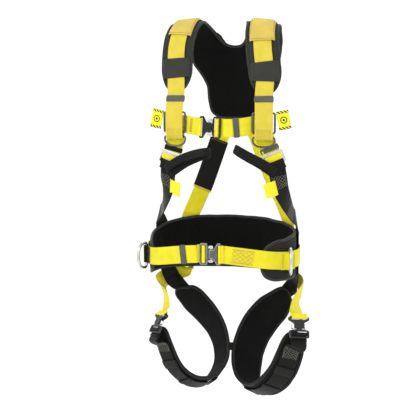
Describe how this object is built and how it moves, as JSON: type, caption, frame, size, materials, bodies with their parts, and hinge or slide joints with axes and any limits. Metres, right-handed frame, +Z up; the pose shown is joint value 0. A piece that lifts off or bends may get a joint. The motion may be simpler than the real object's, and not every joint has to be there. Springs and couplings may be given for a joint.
{
  "type": "safety harness",
  "caption": "Full-body fall-arrest harness with padded yoke, padded positioning belt and leg loops, dorsal and belt D-rings, front loops and quick-connect buckles.",
  "frame": {"origin": "inside crown of the dorsal D-ring, where the harness hangs", "axes": "+Z up the wearer's back, +X to the wearer's left, +Y to the wearer's back"},
  "size_m": [0.4538, 0.2921, 0.9853],
  "materials": {
    "yellow_webbing": "fluorescent yellow woven polyester webbing",
    "sleeve_webbing": "orange-yellow textile cover with stitched hems",
    "pad_fabric": "dark grey woven cover over foam, black mesh inside",
    "black_webbing": "black woven webbing, slight sheen",
    "elastic": "ribbed grey elastic",
    "tag_film": "satin yellow label film",
    "bright_steel": "zinc-plated forged steel, satin",
    "dark_steel": "dark coated steel, satin",
    "buckle_steel": "black coated steel, satin",
    "plate_plastic": "moulded black plastic"
  },
  "bodies": {
    "harness": {"back_pad": "pad_fabric", "shoulder_pad_right": "pad_fabric", "shoulder_strap_right": "yellow_webbing", "shoulder_sleeve_right": "sleeve_webbing", "shoulder_keeper_right": "elastic", "chest_ring_right": "dark_steel", "shoulder_pad_left": "pad_fabric", "shoulder_strap_left": "yellow_webbing", "shoulder_sleeve_left": "sleeve_webbing", "shoulder_keeper_left": "elastic", "chest_ring_left": "dark_steel", "dorsal_plate": "plate_plastic", "chest_buckle_housing": "buckle_steel", "chest_strap_right": "yellow_webbing", "chest_strap_left": "yellow_webbing", "chest_keeper": "elastic", "belt_pad": "pad_fabric", "rib_strap_right": "yellow_webbing", "side_keeper_right": "black_webbing", "side_adjuster_right": "bright_steel", "side_strap_right": "black_webbing", "front_loop_right": "black_webbing", "rib_strap_left": "yellow_webbing", "side_keeper_left": "elastic", "side_adjuster_left": "bright_steel", "side_strap_left": "black_webbing", "front_loop_left": "black_webbing", "back_strap_right": "yellow_webbing", "hip_strap_right": "yellow_webbing", "back_strap_left": "yellow_webbing", "hip_strap_left": "yellow_webbing", "label_sleeve": "black_webbing", "belt_strap_left": "yellow_webbing", "belt_strap_right": "yellow_webbing", "belt_keeper": "elastic", "belt_buckle_housing": "buckle_steel", "leg_pad_right": "black_webbing", "leg_pad_left": "black_webbing", "leg_link": "black_webbing", "leg_buckle_right_tongue": "buckle_steel", "leg_buckle_left_tongue": "buckle_steel"},
    "dorsal_ring_body": {"dorsal_ring": "bright_steel"},
    "belt_ring_right_body": {"belt_ring_right": "bright_steel"},
    "belt_ring_left_body": {"belt_ring_left": "bright_steel"},
    "chest_tongue": {"chest_buckle_tongue": "buckle_steel"},
    "belt_tongue": {"belt_buckle_tongue": "buckle_steel"},
    "chest_clip_upper_body": {"chest_clip_upper": "bright_steel"},
    "chest_clip_lower_body": {"chest_clip_lower": "bright_steel"},
    "belt_clip_lower_body": {"belt_clip_lower": "bright_steel"},
    "belt_clip_upper_body": {"belt_clip_upper": "bright_steel"},
    "chest_d_ring_right_body": {"chest_d_ring_right": "dark_steel"},
    "ring_tag_right_body": {"ring_tag_right": "tag_film"},
    "leg_housing_right": {"leg_buckle_right_housing": "buckle_steel"},
    "leg_clip_right_front_body": {"leg_clip_right_front": "bright_steel"},
    "leg_clip_right_back_body": {"leg_clip_right_back": "bright_steel"},
    "chest_d_ring_left_body": {"chest_d_ring_left": "dark_steel"},
    "ring_tag_left_body": {"ring_tag_left": "tag_film"},
    "leg_housing_left": {"leg_buckle_left_housing": "buckle_steel"},
    "leg_clip_left_front_body": {"leg_clip_left_front": "bright_steel"},
    "leg_clip_left_back_body": {"leg_clip_left_back": "bright_steel"}
  },
  "joints": [
    {"name": "dorsal_ring_swing", "type": "hinge", "parent": "harness", "child": "dorsal_ring_body", "pos_m": [0, -0.014, -0.0401], "axis": [1, 0, 0], "range_deg": [-130, 8]},
    {"name": "belt_ring_right_swing", "type": "hinge", "parent": "harness", "child": "belt_ring_right_body", "pos_m": [-0.2074, -0.1911, -0.4711], "axis": [0, 0, 1], "range_deg": [-85, 4]},
    {"name": "belt_ring_left_swing", "type": "hinge", "parent": "harness", "child": "belt_ring_left_body", "pos_m": [0.1712, -0.195, -0.4711], "axis": [0, 0, 1], "range_deg": [-3, 80]},
    {"name": "chest_d_ring_right_swing", "type": "hinge", "parent": "harness", "child": "chest_d_ring_right_body", "pos_m": [-0.1148, -0.2473, -0.1556], "axis": [0.995, -0.1, 0], "range_deg": [-80, 5]},
    {"name": "ring_tag_right_swing", "type": "hinge", "parent": "harness", "child": "ring_tag_right_body", "pos_m": [-0.1488, -0.2456, -0.1161], "axis": [-0.1911, 0.019, -0.9814], "range_deg": [-35, 35]},
    {"name": "chest_d_ring_left_swing", "type": "hinge", "parent": "harness", "child": "chest_d_ring_left_body", "pos_m": [0.1107, -0.2454, -0.1556], "axis": [0.9806, 0.1959, 0], "range_deg": [-80, 5]},
    {"name": "ring_tag_left_swing", "type": "hinge", "parent": "harness", "child": "ring_tag_left_body", "pos_m": [0.1443, -0.2403, -0.1161], "axis": [-0.1869, -0.037, 0.9817], "range_deg": [-35, 35]},
    {"name": "chest_buckle_release", "type": "slide", "parent": "harness", "child": "chest_tongue", "axis": [0.9992, 0, -0.04], "range_m": [0, 0.022], "deforming": ["chest_strap_left"]},
    {"name": "belt_buckle_release", "type": "slide", "parent": "harness", "child": "belt_tongue", "axis": [-1, 0, 0], "range_m": [0, 0.022], "deforming": ["belt_strap_right"]},
    {"name": "chest_clip_upper_press", "type": "slide", "parent": "harness", "child": "chest_clip_upper_body", "axis": [-0.04, 0, -0.9992], "range_m": [0, 0.002], "stiffness_N_per_m": 600},
    {"name": "chest_clip_lower_press", "type": "slide", "parent": "harness", "child": "chest_clip_lower_body", "axis": [0.04, 0, 0.9992], "range_m": [0, 0.002], "stiffness_N_per_m": 600},
    {"name": "belt_clip_lower_press", "type": "slide", "parent": "harness", "child": "belt_clip_lower_body", "axis": [0, 0, 1], "range_m": [0, 0.002], "stiffness_N_per_m": 600},
    {"name": "belt_clip_upper_press", "type": "slide", "parent": "harness", "child": "belt_clip_upper_body", "axis": [0, 0, -1], "range_m": [0, 0.002], "stiffness_N_per_m": 600},
    {"name": "leg_buckle_right_release", "type": "slide", "parent": "harness", "child": "leg_housing_right", "axis": [0.2949, 0.4429, 0.8467], "range_m": [0, 0.022], "deforming": ["hip_strap_right"]},
    {"name": "leg_clip_right_front_press", "type": "slide", "parent": "leg_housing_right", "child": "leg_clip_right_front_body", "axis": [-0.6652, 0.7312, -0.1511], "range_m": [0, 0.002], "stiffness_N_per_m": 600},
    {"name": "leg_clip_right_back_press", "type": "slide", "parent": "leg_housing_right", "child": "leg_clip_right_back_body", "axis": [0.6652, -0.7312, 0.1511], "range_m": [0, 0.002], "stiffness_N_per_m": 600},
    {"name": "leg_buckle_left_release", "type": "slide", "parent": "harness", "child": "leg_housing_left", "axis": [-0.1, 0.3501, 0.9313], "range_m": [0, 0.022], "deforming": ["hip_strap_left"]},
    {"name": "leg_clip_left_front_press", "type": "slide", "parent": "leg_housing_left", "child": "leg_clip_left_front_body", "axis": [-0.8008, -0.5838, 0.134], "range_m": [0, 0.002], "stiffness_N_per_m": 600},
    {"name": "leg_clip_left_back_press", "type": "slide", "parent": "leg_housing_left", "child": "leg_clip_left_back_body", "axis": [0.8008, 0.5838, -0.134], "range_m": [0, 0.002], "stiffness_N_per_m": 600}
  ]
}
